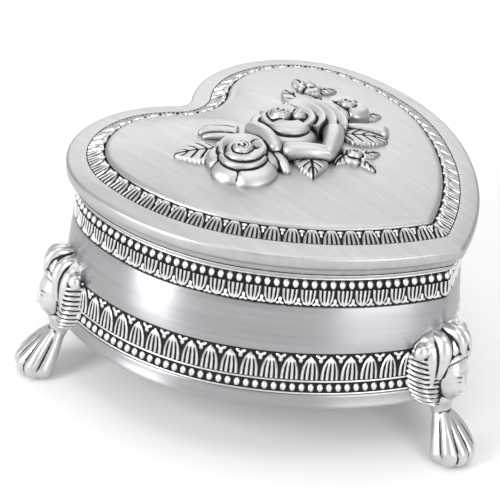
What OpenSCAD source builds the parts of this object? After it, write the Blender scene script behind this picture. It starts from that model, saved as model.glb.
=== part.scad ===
// Heart-shaped trinket box on three sphinx-and-paw feet, with a hinged, domed lid.
// The heart's notch faces +Y and its tip faces -Y. Z is up, and z = 0 is the plane of the soles.
// The origin is the centre of the plan's bounding box, on that plane.

/* [Heart] */
// Width of the lid's rim, the widest part of the box
box_w = 100; // [90:1:110]
// Radius of the rounding at the heart's tip
tip_r = 2.5; // [2:0.1:3.5]
// Radius of the notch between the lobes, at the lid's rim
notch_r = 5; // [4.5:0.1:6]

/* [Heights] */
// Underside of the body above the surface that the feet stand on
body_z = 15.7; // [14:0.1:18]
// Height of the body, from its underside to the seam under the lid
body_h = 34.6; // [32:0.1:38]
// Height of the lid's rim moulding, from the seam to its widest edge
rim_h = 6.9; // [6.2:0.1:8]
// Rise of the domed panel from its edge to its centre
crown_h = 3.5; // [2:0.1:5]

/* [Walls] */
// Thickness of the cast walls
wall_t = 1.6; // [1.4:0.1:2]
// How far the body's wall flares out from the seam to the underside
flare = 3.4; // [2.5:0.1:4]
// Thickness of the velvet on the walls
velvet_t = 1.1; // [0.8:0.1:1.5]

/* [Hinge] */
// Length of the hinge pin
pin_l = 11.6; // [11.2:0.1:13]
// Radius of the hinge pin
pin_r = 0.8; // [0.6:0.05:0.9]

/* [Feet] */
// Direction of the two lobe feet, measured from straight sideways towards the notch
foot_turn = 30; // [20:1:38]

/* [Hidden] */
metal = [0.72, 0.72, 0.73];
dark_metal = [0.45, 0.45, 0.46];
velvet = [0.03, 0.03, 0.035];
card = [0.55, 0.50, 0.42];
fit_gap = 0.05;       // gap between glued or soldered parts

// ---- the heart, as arcs: notch fillet, lobe, flank, nose and tip ----
lobe_r = box_w * 0.283;
flank_r = box_w * 0.57;
nose_r = box_w * 0.82;
flank_a = 9;          // where the lobe's arc becomes the flank's
nose_a = -32;         // where the flank's arc becomes the nose's
lobe_x = box_w / 2 - flank_r + (flank_r - lobe_r) * cos(flank_a);
flank_c = [lobe_x - (flank_r - lobe_r) * cos(flank_a), -(flank_r - lobe_r) * sin(flank_a)];
nose_c = flank_c + (flank_r - nose_r) * [cos(nose_a), sin(nose_a)];
notch_cy = sqrt(pow(lobe_r + notch_r, 2) - pow(lobe_x, 2));
notch_a = atan2(-notch_cy, lobe_x);
heart_mid = [0, -12]; // the dome's highest point, in plan

function arc(c, r, a0, a1, n, first = 0) =
    [for (i = [first:n]) let (a = a0 + (a1 - a0) * i / n) [c[0] + r * cos(a), c[1] + r * sin(a)]];
// y of the tip arc's centre, on an outline offset by d
function tip_cy(d) = nose_c[1] - sqrt(pow(nose_r + d - tip_r, 2) - pow(nose_c[0], 2));
function tip_y(d) = tip_cy(d) - tip_r;
// The right half of the outline, offset by d from the lid's rim, from the notch to the tip
function half_heart(d) =
    let (ty = tip_cy(d), ta = atan2(ty - nose_c[1], -nose_c[0]))
    concat(arc([0, notch_cy], notch_r - d, -90, notch_a, 3),
           arc([lobe_x, 0], lobe_r + d, notch_a + 180, 90, 4, 1),
           arc([lobe_x, 0], lobe_r + d, 90, flank_a, 9, 1),
           arc(flank_c, flank_r + d, flank_a, nose_a, 6, 1),
           arc(nose_c, nose_r + d, nose_a, ta, 5, 1),
           arc([0, ty], tip_r, ta, -90, 3, 1));
// The whole outline, anticlockwise from the tip
function heart(d) =
    let (h = half_heart(d), n = len(h) - 1)
    concat([for (i = [n:-1:0]) h[i]], [for (i = [1:n - 1]) [-h[i][0], h[i][1]]]);

// ---- sweeps of a profile of [offset, z] points round the heart ----
function ring(p) = [for (q = heart(p[0])) [q[0], q[1], p[1]]];
function quad(a, b, c, d) = [[a, b, c], [a, c, d]];
function skin(rings, n, closed) =
    [for (j = [0:rings - (closed ? 1 : 2)], i = [0:n - 1])
        let (k = (j + 1) % rings, m = (i + 1) % n)
        each quad(j * n + i, k * n + i, k * n + m, j * n + m)];
// A closed loop of profile points makes a ring such as a wall
module heart_ring(profile) {
    rings = [for (p = profile) ring(p)];
    n = len(rings[0]);
    polyhedron([for (r = rings) each r], skin(len(rings), n, true), convexity = 8);
}
// Rings capped at both ends by fans to a middle point make a solid
module capped(rings, bottom, top) {
    n = len(rings[0]);
    m = len(rings);
    polyhedron(concat([for (r = rings) each r], [bottom, top]),
               concat(skin(m, n, false),
                      [for (i = [0:n - 1]) [m * n, i, (i + 1) % n]],
                      [for (i = [0:n - 1]) [m * n + 1, (m - 1) * n + (i + 1) % n, (m - 1) * n + i]]),
               convexity = 8);
}
function mid_at(z) = [heart_mid[0], heart_mid[1], z];
module heart_plate(d, z0, z1) {
    translate([0, 0, z0]) linear_extrude(z1 - z0) polygon(heart(d));
}

// ---- levels and offsets that the parts share ----
seam_z = body_z + body_h;
seam_gap = 0.1;       // between the wall's top and the closed lid
rim_z = seam_z + rim_h;
wall_top_d = -3.6;    // the wall's outline at the seam
function wall_d(z) = wall_top_d + flare * (seam_z - z) / body_h;
function inner_d(z) = wall_d(z) - wall_t;
base_top_z = body_z + 3.7;
lower_top_z = base_top_z + 11;
upper_low_z = seam_z - 7.9;
plain_d = 0.45;       // the plain wall stands this far out of the line of the flare
base_d = 0.5;         // and the plain base this far
band_t = 0.9;         // how far a band stands out
plate_z = body_z + 0.9;
plate_t = 1.2;
card_t = 0.8;         // cards behind the floor and lid pads
floor_z = plate_z + plate_t + card_t;
pad_z = floor_z + 2.4;

toe_reach = 12.3;     // from the wall at the tip to the end of the toes
paw_r = 3.7;
ball_sides = 20;
tip_wall_y = tip_y(wall_d(body_z + 4));
plan_y0 = tip_wall_y - toe_reach + paw_r * (1 - cos(180 / ball_sides));
plan_y1 = lobe_r + wall_d(body_z) + base_d;
shift = [0, -(plan_y0 + plan_y1) / 2, 0];

// ---- body ----
module body_profile() {
    heart_ring([
        [wall_d(body_z) + base_d, body_z], [wall_d(body_z) - wall_t, body_z],
        [inner_d(seam_z - 1), seam_z - 1], [inner_d(seam_z) + 0.1, seam_z - seam_gap],
        [wall_d(seam_z), seam_z - seam_gap], [wall_d(upper_low_z), upper_low_z],
        [wall_d(upper_low_z) + plain_d, upper_low_z - 0.1],
        [wall_d(lower_top_z) + plain_d, lower_top_z + 0.1],
        [wall_d(lower_top_z), lower_top_z], [wall_d(base_top_z), base_top_z],
        [wall_d(base_top_z) + base_d, base_top_z - 0.1],
        [wall_d(body_z + 1) + base_d - 0.1, body_z + 1]]);
}
module body_wall() {
    color(metal) translate(shift) difference() {
        body_profile();
        at_feet() screw_hole();
    }
}
module base_plate() {
    color(metal) translate(shift) heart_plate(inner_d(plate_z + plate_t) - fit_gap, plate_z, plate_z + plate_t);
}
module upper_band() {
    color(dark_metal) translate(shift)
        heart_ring([
            [wall_d(upper_low_z) + fit_gap, upper_low_z + 0.05], [wall_d(seam_z) + fit_gap, seam_z - 0.15],
            [wall_d(seam_z) + band_t - 0.15, seam_z - 0.15], [wall_d(seam_z) + band_t, seam_z - 0.6],
            [wall_d(upper_low_z) + band_t, upper_low_z + 0.05]]);
}
module lower_band() {
    color(dark_metal) translate(shift) difference() {
        heart_ring([
            [wall_d(base_top_z) + fit_gap, base_top_z + 0.05], [wall_d(lower_top_z) + fit_gap, lower_top_z - 0.05],
            [wall_d(lower_top_z) + band_t, lower_top_z - 0.05],
            [wall_d(base_top_z) + band_t, base_top_z + 0.05]]);
        at_feet() screw_hole();
    }
}

// ---- feet: a capped head with ribbed lappets over a paw ----
// Local axes: +X outwards from the wall, Y along it, and the origin under the wall's face
module at_tip() { translate([0, tip_wall_y, 0]) rotate(-90) children(); }
module at_lobe(side) {
    a = side > 0 ? foot_turn : 180 - foot_turn;
    translate([side * lobe_x, 0, 0]) rotate(a) translate([lobe_r + wall_d(body_z + 4), 0, 0]) children();
}
module at_feet() {
    at_tip() children();
    at_lobe(1) children();
    at_lobe(-1) children();
}
screw_z = body_z + 8;
screw_r = 1;
screw_out = 3;        // the screw ends this far outside the foot's origin
head_r = 1.9;
head_h = 0.85;
// The screw's countersunk head is let into the wall's inner face
head_x = wall_d(screw_z) - wall_d(body_z + 4) - wall_t + 0.15;
module screw_hole() {
    translate([-6, 0, screw_z]) rotate([0, 90, 0]) cylinder(r = screw_r + 0.05, h = 12, $fn = 32);
    translate([head_x - 3, 0, screw_z]) rotate([0, 90, 0]) cylinder(r = head_r + 0.1, h = 3, $fn = 32);
    translate([head_x, 0, screw_z]) rotate([0, 90, 0])
        cylinder(r1 = head_r + 0.1, r2 = screw_r + 0.05, h = head_h + 0.05, $fn = 32);
}
module screw() {
    translate([head_x, 0, screw_z]) rotate([0, 90, 0]) cylinder(r1 = head_r, r2 = screw_r, h = head_h, $fn = 32);
    translate([head_x + head_h, 0, screw_z]) rotate([0, 90, 0])
        cylinder(r = screw_r, h = screw_out - head_x - head_h, $fn = 32);
}
lappet_low = 14.6;    // the lappets' lower edge
lappet_t = 3.4;       // how far the lappets stand out from the wall
module ball(x, y, z, r) { translate([x, y, z]) sphere(r = r, $fn = ball_sides); }
// The lappets' outline across the wall, [y, z], extruded outwards
module lappet_prism() {
    half = [[0, lappet_low], [5.2, lappet_low], [8.4, 18], [9.6, 23], [9.3, 27], [8, 31], [6.6, 33.8], [4, 36]];
    n = len(half) - 1;
    outline = concat(half, [for (i = [n:-1:1]) [-half[i][0], half[i][1]]]);
    translate([-12, 0, 0]) rotate([90, 0, 90]) linear_extrude(18) polygon(outline);
}
module head_and_leg() {
    hull() { ball(2.2, 0, 32.6, 4.1); ball(2.9, 0, 22, 3.7); ball(2.4, 0, 18.6, 3); }
    hull() { ball(0.6, 0, 16, 3.4); ball(2.2, 0, 9.5, 2.7); }
    hull() {
        ball(3.4, 0, 9, 2.5);
        ball(4.6, 0, 3, 2.9);
        ball(8, 0, 2.7, 2.9);
        for (side = [-1, 1]) ball(toe_reach - paw_r, side * 1.2, 6, paw_r);
    }
}
// The body's outside, filled and swollen by t, which the feet are fitted to
module body_envelope(t = 0) {
    profile = [
        [wall_d(body_z) + base_d, body_z], [wall_d(body_z + 1) + base_d, body_z + 1],
        [wall_d(base_top_z) + base_d, base_top_z - 0.2], [wall_d(base_top_z) + band_t + fit_gap, base_top_z],
        [wall_d(lower_top_z) + band_t + fit_gap, lower_top_z],
        [wall_d(lower_top_z) + plain_d, lower_top_z + 0.1], [wall_d(upper_low_z) + plain_d, upper_low_z]];
    rings = [for (p = profile) ring([p[0] + t, p[1] + (p[1] > body_z ? t / 10 : -t)])];
    capped(rings, mid_at(body_z - t), mid_at(upper_low_z + t / 10));
}
module foot_bore() {
    translate([-6, 0, screw_z]) rotate([0, 90, 0]) cylinder(r = screw_r, h = 6 + screw_out + 0.3, $fn = 32);
}
module foot_cuts() {
    foot_bore();
    translate([-20, -20, -10]) cube([60, 40, 10]);
}
// Children: the lappets' prism, the head and leg, and what is cut away
module fitted_foot() {
    color(metal) translate(shift) difference() {
        union() {
            intersection() { children(0); body_envelope(lappet_t); }
            children(1);
        }
        body_envelope();
        children(2);
    }
}
module foot_front() {
    fitted_foot() {
        at_tip() lappet_prism();
        at_tip() head_and_leg();
        at_tip() foot_cuts();
    }
}
module lobe_foot(side) {
    fitted_foot() {
        at_lobe(side) lappet_prism();
        at_lobe(side) head_and_leg();
        at_lobe(side) foot_cuts();
    }
}
module foot_left() { lobe_foot(-1); }
module foot_right() { lobe_foot(1); }
module foot_screws() { color(dark_metal) translate(shift) at_feet() screw(); }

// ---- hinge, in the notch between the lobes ----
hinge_y = lobe_r + wall_top_d + 1.5;
hinge_z = seam_z - 2.3;
knuckle_r = 1.7;
knuckle_l = 3.6;      // each knuckle's length
knuckle_gap = 0.1;
module along_pin(x0, l, r) {
    translate([x0, hinge_y, hinge_z]) rotate([0, 90, 0]) cylinder(r = r, h = l, $fn = 48);
}
// The part of a block that lies in the notch, up to an outline that is offset by d0 at z0 and d1 at z1
module in_notch(z0, z1, d0, d1, half_w, y1) {
    intersection() {
        translate([0, notch_cy, z0]) cylinder(r1 = notch_r - d0, r2 = notch_r - d1, h = z1 - z0, $fn = 64);
        translate([-half_w, notch_cy - 12, z0 - 1]) cube([2 * half_w, y1 - notch_cy + 12, z1 - z0 + 2]);
    }
}
module hinge_body_leaf() {
    block_z0 = seam_z - 5.4;
    block_z1 = seam_z - 0.9;
    color(metal) translate(shift) difference() {
        union() {
            in_notch(block_z0, block_z1, wall_d(block_z0) + band_t + fit_gap, wall_d(block_z1) + band_t + fit_gap,
                     1.5 * knuckle_l + knuckle_gap, hinge_y - 1.9);
            for (x0 = [-1.5 * knuckle_l - knuckle_gap, knuckle_l / 2 + knuckle_gap]) {
                along_pin(x0, knuckle_l, knuckle_r);
                translate([x0, hinge_y - 2.4, hinge_z - knuckle_r]) cube([knuckle_l, 2.4, 2 * knuckle_r - 0.6]);
            }
        }
        along_pin(-20, 40, pin_r);
    }
}
module hinge_lid_leaf() {
    leaf_z = seam_z + 0.3;
    lid_notch_d = -2 + fit_gap;
    color(metal) translate(shift) difference() {
        union() {
            along_pin(-knuckle_l / 2, knuckle_l, knuckle_r);
            translate([-knuckle_l / 2, hinge_y - 1.1, hinge_z]) cube([knuckle_l, 1.1 + knuckle_r, leaf_z + 1.6 - hinge_z]);
            in_notch(leaf_z, leaf_z + 1.6, lid_notch_d, lid_notch_d, 4.4, hinge_y + knuckle_r);
        }
        along_pin(-20, 40, pin_r + 0.04);
    }
}
module hinge_pin() { color(dark_metal) translate(shift) along_pin(-pin_l / 2, pin_l, pin_r); }

// ---- lining ----
module floor_card() {
    color(card) translate(shift) heart_plate(inner_d(floor_z) - 0.15, plate_z + plate_t, floor_z);
}
module floor_lining() {
    color(velvet) translate(shift) heart_plate(inner_d(pad_z) - velvet_t - 0.25, floor_z, pad_z);
}
module wall_lining() {
    z0 = floor_z + 0.05;
    z1 = seam_z - 1.1;
    color(velvet) translate(shift) heart_ring([
        [inner_d(z0) - fit_gap - velvet_t, z0], [inner_d(z1) - fit_gap - velvet_t, z1],
        [inner_d(z1) - fit_gap, z1], [inner_d(z0) - fit_gap, z0]]);
}

// ---- lid ----
border_out_d = -4.8;
border_in_d = -9;
border_z = rim_z + 0.8;
border_rise = 1.6;    // from the border's outer edge to its inner one
dome_d = -9.3;        // the domed panel's edge
dome_z = rim_z + 2.8;
// A ring that is drawn in towards the middle by the share t
function drawn_in(d, t, z) = [for (q = heart(d)) let (p = q + (heart_mid - q) * t) [p[0], p[1], z]];
function crown(t) = crown_h * (1 - pow(1 - t, 2));
dome_steps = [0.08, 0.22, 0.42, 0.68];
module lid_shell() {
    under = [
        for (i = [len(dome_steps) - 1:-1:0]) let (t = dome_steps[i])
            drawn_in(dome_d - wall_t, t, dome_z - wall_t + crown(t))];
    sides = [
        [dome_d - wall_t, dome_z - wall_t], [dome_d - wall_t, rim_z - 0.9], [-3.8 - wall_t, seam_z + 4.6],
        [-2.9 - wall_t, seam_z], [-2.5, seam_z], [-2.2, seam_z + 0.8], [-2.1, seam_z + 1.8],
        [-1.5, seam_z + 3], [-0.6, seam_z + 3.8], [-0.1, seam_z + 4.2], [0, rim_z - 0.6], [-0.3, rim_z],
        [border_out_d, border_z], [border_out_d - 0.1, border_z - 1], [border_in_d - 0.2, border_z + border_rise - 1],
        [dome_d, dome_z - 0.6], [dome_d - 0.5, dome_z]];
    over = [for (t = dome_steps) drawn_in(dome_d - 0.5, t, dome_z + crown(t))];
    color(metal) translate(shift)
        capped(concat(under, [for (p = sides) ring(p)], over),
               mid_at(dome_z - wall_t + crown_h), mid_at(dome_z + crown_h));
}
module lid_border() {
    color(dark_metal) translate(shift) heart_ring([
        [border_in_d, border_z + border_rise - 1], [border_out_d - 0.2, border_z - 0.9],
        [border_out_d - 0.2, border_z - 0.2], [border_in_d, border_z + border_rise - 0.2]]);
}
card_z = rim_z - 0.2;
lid_pad_z = seam_z + 2.4; // the lid pad's underside
module lid_card() {
    color(card) translate(shift) heart_plate(dome_d - wall_t - 0.2, card_z, card_z + card_t);
}
module lid_lining() {
    profile = [[-6, lid_pad_z], [-5.9, lid_pad_z + 2], [dome_d - wall_t - 0.4, rim_z - 1],
               [dome_d - wall_t - 0.25, card_z]];
    color(velvet) translate(shift)
        capped([for (p = profile) ring(p)], mid_at(lid_pad_z), mid_at(card_z));
}

// ---- the spray of roses, cast in one piece and fixed on the dome ----
spray_r = 36;         // the dome's mean half width, which its fall towards the edge is reckoned with
sink = 0.5;
function on_dome(p) = dome_z + crown_h * (1 - pow(norm(p - heart_mid) / spray_r, 2)) - sink;
// A rose: a wide outer cup of petals, a middle ring and a bud
module rose(p, r, h) {
    translate([p[0], p[1], on_dome(p)]) rotate_extrude($fn = 48) polygon([
        [0, 0], [r * 0.85, 0], [r, h * 0.35], [r * 0.9, h * 0.55], [r * 0.72, h * 0.5], [r * 0.7, h * 0.8],
        [r * 0.5, h * 0.78], [r * 0.42, h], [0, h]]);
}
// A leaf: two arcs between its stalk and its point, turned by a
module leaf(p, l, w, a, h = 1.3) {
    n = 6;
    side = [for (i = [0:n]) [l * i / n, w / 2 * sin(180 * i / n)]];
    translate([p[0], p[1], on_dome(p)]) rotate(a) linear_extrude(h + sink)
        polygon(concat(side, [for (i = [n - 1:-1:1]) [side[i][0], -side[i][1]]]));
}
module rose_spray() {
    color(metal) translate(shift) {
        rose([-18.5, -15.5], 9, 5.4);
        rose([1, -12.5], 8.8, 6);
        rose([8.5, -15.5], 6.8, 5.2);
        rose([20.5, -14], 6, 4.2);
        rose([22, -0.5], 3.8, 3);
        rose([3.4, -31], 3.2, 2.4);
        // curled and folded petals between the roses
        leaf([-16.5, 1], 9, 5, -45, 3);
        leaf([-9.5, -4.5], 15, 5, 255, 4.4);
        leaf([-12, -18.5], 8, 4, 259, 3.4);
        leaf([-4, -11], 8, 4, 170, 3);
        leaf([-10.5, -20.5], 11.5, 5.5, -49, 4);
        leaf([-4, -28.5], 14, 5.5, 33, 4);
        leaf([12, -20.5], 11, 6, -42, 3);
        leaf([11, -14], 8, 6, 0, 3.6);
        // veined leaves
        leaf([-17.5, -7.5], 11.5, 8, 155, 1.6);
        leaf([-4.5, -24], 9, 8, 227, 2);
        leaf([9, -21.5], 10, 7, -55, 1.8);
        leaf([7, -9.5], 11, 5, 35, 2);
        leaf([21, -9], 8, 5, 85, 2.2);
        leaf([3.5, -32.5], 6, 3, -88, 1.2);
        leaf([5, -31], 6.5, 4, -15, 1.2);
        leaf([1, -30.5], 5, 4, 160, 1.4);
    }
}

body_wall();
base_plate();
upper_band();
lower_band();
foot_front();
foot_left();
foot_right();
foot_screws();
hinge_body_leaf();
hinge_lid_leaf();
hinge_pin();
floor_card();
floor_lining();
wall_lining();
lid_shell();
lid_border();
rose_spray();
lid_card();
lid_lining();
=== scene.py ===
from math import atan2, cos, pi, radians, sin, sqrt

import bmesh
import bpy
import numpy as np
from mathutils import Matrix, Vector


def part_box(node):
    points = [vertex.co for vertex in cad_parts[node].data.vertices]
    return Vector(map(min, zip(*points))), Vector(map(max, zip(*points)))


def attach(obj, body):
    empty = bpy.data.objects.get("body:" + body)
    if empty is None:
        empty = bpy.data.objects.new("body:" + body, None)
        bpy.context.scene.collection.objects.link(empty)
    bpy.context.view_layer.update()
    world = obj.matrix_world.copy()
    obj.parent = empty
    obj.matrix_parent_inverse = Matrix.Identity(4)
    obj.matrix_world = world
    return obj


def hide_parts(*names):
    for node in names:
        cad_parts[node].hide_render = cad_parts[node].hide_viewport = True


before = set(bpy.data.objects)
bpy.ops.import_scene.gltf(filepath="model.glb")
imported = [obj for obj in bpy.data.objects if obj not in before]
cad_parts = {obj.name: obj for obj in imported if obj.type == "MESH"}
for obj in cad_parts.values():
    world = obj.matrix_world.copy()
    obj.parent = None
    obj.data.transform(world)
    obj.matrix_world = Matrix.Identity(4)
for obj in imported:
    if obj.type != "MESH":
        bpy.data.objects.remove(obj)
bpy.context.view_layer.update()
mm = 0.001

# ---------------------------------------------------------------------------
# Camera: a long lens, well above the table, looking past the heart's left flank
# to its tip, with a slight roll.
# ---------------------------------------------------------------------------
camera_azimuth = radians(-50.2)
camera_elevation = radians(31.8)
camera_roll = radians(5.73)
camera_distance = 486.5 * mm
camera_target = Vector((0, 20.4, 26.0)) * mm

bpy.ops.object.camera_add()
camera = bpy.context.object
camera.name = "camera"
camera.data.lens = 138.2
camera.data.sensor_width = 36
back = Vector((sin(camera_azimuth) * cos(camera_elevation),
               -cos(camera_azimuth) * cos(camera_elevation), sin(camera_elevation)))
right = Vector((cos(camera_azimuth), sin(camera_azimuth), 0))
up = back.cross(right)
rolled_right = right * cos(camera_roll) + up * sin(camera_roll)
rolled_up = up * cos(camera_roll) - right * sin(camera_roll)
camera.matrix_world = Matrix.Translation(camera_target + back * camera_distance) @ Matrix(
    (rolled_right, rolled_up, back)).transposed().to_4x4()
bpy.context.scene.camera = camera

# ---------------------------------------------------------------------------
# Floor and light: a white sheet in a pale room, with low soft boxes at the left
# and beyond the tip that streak the brushed wall, a panel overhead and one behind.
# ---------------------------------------------------------------------------
bpy.ops.mesh.primitive_plane_add(size=4, location=(0, 0, 0))
floor = bpy.context.object
floor.name = "floor"
paper = bpy.data.materials.new("white_paper")
paper.use_nodes = True
paper.node_tree.nodes["Principled BSDF"].inputs["Base Color"].default_value = (0.8, 0.8, 0.8, 1)
paper.node_tree.nodes["Principled BSDF"].inputs["Roughness"].default_value = 0.9
floor.data.materials.append(paper)

world = bpy.data.worlds.new("pale_room")
world.use_nodes = True
world.node_tree.nodes["Background"].inputs["Color"].default_value = (1, 1, 1, 1)
world.node_tree.nodes["Background"].inputs["Strength"].default_value = 0.66
bpy.context.scene.world = world
bpy.context.scene.view_settings.view_transform = "Standard"


def soft_light(name, azimuth, elevation, distance, wide, tall, watts):
    """A soft box that faces the box from that direction, its angles in degrees from the lid's right side."""
    a, e = radians(azimuth), radians(elevation)
    place = Vector((cos(a) * cos(e), sin(a) * cos(e), sin(e))) * distance + Vector((0, 0, 0.03))
    bpy.ops.object.light_add(type="AREA", location=place)
    lamp = bpy.context.object
    lamp.name = name
    lamp.data.shape = "RECTANGLE"
    lamp.data.size, lamp.data.size_y = wide, tall
    lamp.data.energy = watts
    lamp.rotation_euler = (Vector((0, 0, 0.03)) - place).to_track_quat("-Z", "Y").to_euler()


soft_light("left_box", 168, 22, 0.7, 0.24, 0.55, 4.0)
soft_light("tip_box", -106, 22, 0.7, 0.3, 0.5, 2.0)
soft_light("overhead_panel", 0, 84, 1.2, 1.2, 1.2, 6.5)
soft_light("back_panel", 44, 27, 0.9, 0.8, 0.5, 2.0)

# ---------------------------------------------------------------------------
# Finish shared by all the metal: cast pewter, brushed with a fine belt, blackened
# in its hollows and rubbed bright on what stands out. On the lid, shade is also painted
# black where other pieces stand on it or close by it.
# ---------------------------------------------------------------------------
def group_socket(tree, name, kind, side, value=None):
    socket = tree.interface.new_socket(name, in_out=side, socket_type=kind)
    if value is not None:
        socket.default_value = value


def link(tree, a, b):
    tree.links.new(a, b)


def brushed_grain():
    """Fine parallel scratches: Lines is a height, Streaks a slow change along them."""
    tree = bpy.data.node_groups.new("brushed_grain", "ShaderNodeTree")
    group_socket(tree, "Vector", "NodeSocketVector", "INPUT")
    group_socket(tree, "Fineness", "NodeSocketFloat", "INPUT", 4000.0)
    group_socket(tree, "Lines", "NodeSocketFloat", "OUTPUT")
    group_socket(tree, "Streaks", "NodeSocketFloat", "OUTPUT")
    nodes = tree.nodes
    ins, outs = nodes.new("NodeGroupInput"), nodes.new("NodeGroupOutput")
    fine = nodes.new("ShaderNodeTexNoise")
    fine.inputs["Detail"].default_value = 3
    fine.inputs["Roughness"].default_value = 0.7
    slow = nodes.new("ShaderNodeTexNoise")
    slow.inputs["Detail"].default_value = 2
    tenth = nodes.new("ShaderNodeMath")
    tenth.operation = "MULTIPLY"
    tenth.inputs[1].default_value = 0.22
    link(tree, ins.outputs["Vector"], fine.inputs["Vector"])
    link(tree, ins.outputs["Vector"], slow.inputs["Vector"])
    link(tree, ins.outputs["Fineness"], fine.inputs["Scale"])
    link(tree, ins.outputs["Fineness"], tenth.inputs[0])
    link(tree, tenth.outputs[0], slow.inputs["Scale"])
    link(tree, fine.outputs["Fac"], outs.inputs["Lines"])
    link(tree, slow.outputs["Fac"], outs.inputs["Streaks"])
    return tree


def patina_and_painted_shade():
    """Black left in hollows: Depth is the hollow, 0 to 1, and Worn the bare metal that shows.
    Where Depth comes from other pieces' occlusion, the black is painted shade.
    """
    tree = bpy.data.node_groups.new("patina_and_painted_shade", "ShaderNodeTree")
    group_socket(tree, "Depth", "NodeSocketFloat", "INPUT", 0.0)
    group_socket(tree, "Reach", "NodeSocketFloat", "INPUT", 0.5)
    group_socket(tree, "Softness", "NodeSocketFloat", "INPUT", 0.2)
    group_socket(tree, "Metal", "NodeSocketColor", "INPUT", (0.7, 0.7, 0.7, 1))
    group_socket(tree, "Black", "NodeSocketColor", "INPUT", (0.012, 0.012, 0.013, 1))
    group_socket(tree, "Color", "NodeSocketColor", "OUTPUT")
    group_socket(tree, "Worn", "NodeSocketFloat", "OUTPUT")
    nodes = tree.nodes
    ins, outs = nodes.new("NodeGroupInput"), nodes.new("NodeGroupOutput")
    coords = nodes.new("ShaderNodeTexCoord")
    mottle = nodes.new("ShaderNodeTexNoise")
    mottle.inputs["Scale"].default_value = 900
    mottle.inputs["Detail"].default_value = 3
    centred = nodes.new("ShaderNodeMath")
    centred.operation = "MULTIPLY_ADD"
    centred.inputs[1].default_value = 0.3
    centred.inputs[2].default_value = -0.15
    uneven = nodes.new("ShaderNodeMath")
    uneven.operation = "ADD"
    low, high = nodes.new("ShaderNodeMath"), nodes.new("ShaderNodeMath")
    low.operation, high.operation = "SUBTRACT", "ADD"
    step = nodes.new("ShaderNodeMapRange")
    step.interpolation_type = "SMOOTHSTEP"
    step.inputs["To Min"].default_value = 1
    step.inputs["To Max"].default_value = 0
    mix = nodes.new("ShaderNodeMix")
    mix.data_type = "RGBA"
    link(tree, coords.outputs["Object"], mottle.inputs["Vector"])
    link(tree, mottle.outputs["Fac"], centred.inputs[0])
    link(tree, ins.outputs["Depth"], uneven.inputs[0])
    link(tree, centred.outputs[0], uneven.inputs[1])
    link(tree, ins.outputs["Reach"], low.inputs[0])
    link(tree, ins.outputs["Softness"], low.inputs[1])
    link(tree, ins.outputs["Reach"], high.inputs[0])
    link(tree, ins.outputs["Softness"], high.inputs[1])
    link(tree, uneven.outputs[0], step.inputs["Value"])
    link(tree, low.outputs[0], step.inputs["From Min"])
    link(tree, high.outputs[0], step.inputs["From Max"])
    link(tree, step.outputs["Result"], mix.inputs["Factor"])
    link(tree, ins.outputs["Black"], mix.inputs["A"])
    link(tree, ins.outputs["Metal"], mix.inputs["B"])
    link(tree, mix.outputs["Result"], outs.inputs["Color"])
    link(tree, step.outputs["Result"], outs.inputs["Worn"])
    return tree


grain_group = brushed_grain()
patina_and_shade_group = patina_and_painted_shade()


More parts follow.
